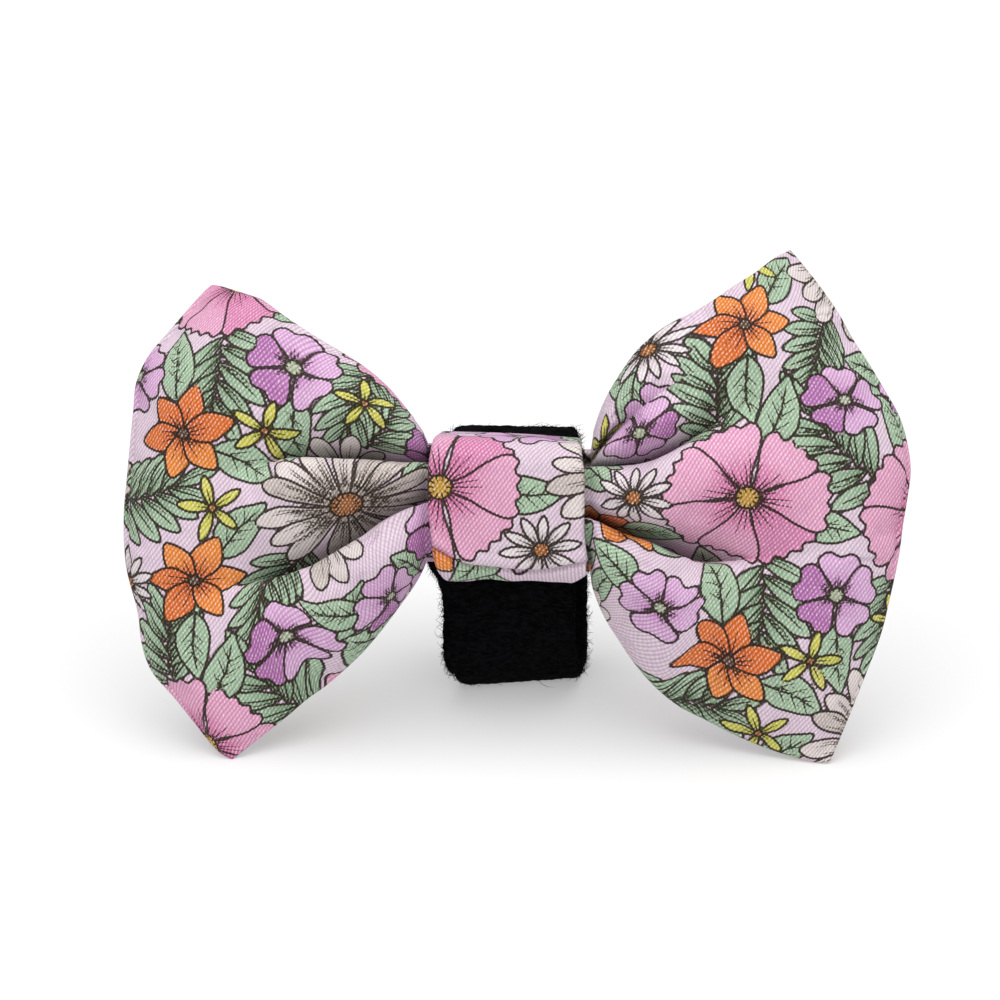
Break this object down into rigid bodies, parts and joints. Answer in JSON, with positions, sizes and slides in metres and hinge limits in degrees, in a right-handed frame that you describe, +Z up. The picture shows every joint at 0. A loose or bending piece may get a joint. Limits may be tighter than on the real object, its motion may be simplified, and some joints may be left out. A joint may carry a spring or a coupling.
{
  "type": "dog bow tie",
  "caption": "Fabric bow tie for a dog: puffed, pinched wings, a knot band round the waist, and a hook-and-loop strap behind the knot that closes round a collar.",
  "frame": {"origin": "on the surface that the bow tie stands on, under the middle of its box", "axes": "+X along the bow's width, +Y from the bow's face to the strap behind it, +Z up"},
  "size_m": [0.115, 0.042, 0.0702],
  "materials": {
    "printed_twill": "woven twill with a small flower print in lilac, pink, orange and sage",
    "printed_twill_band": "the same twill, folded into a band",
    "loop_tape": "black brushed loop pile",
    "hook_tape": "black woven hook tape"
  },
  "bodies": {
    "root": {"bow": "printed_twill", "knot_band": "printed_twill_band", "strap": "loop_tape", "hook_patch": "hook_tape"}
  },
  "joints": []
}
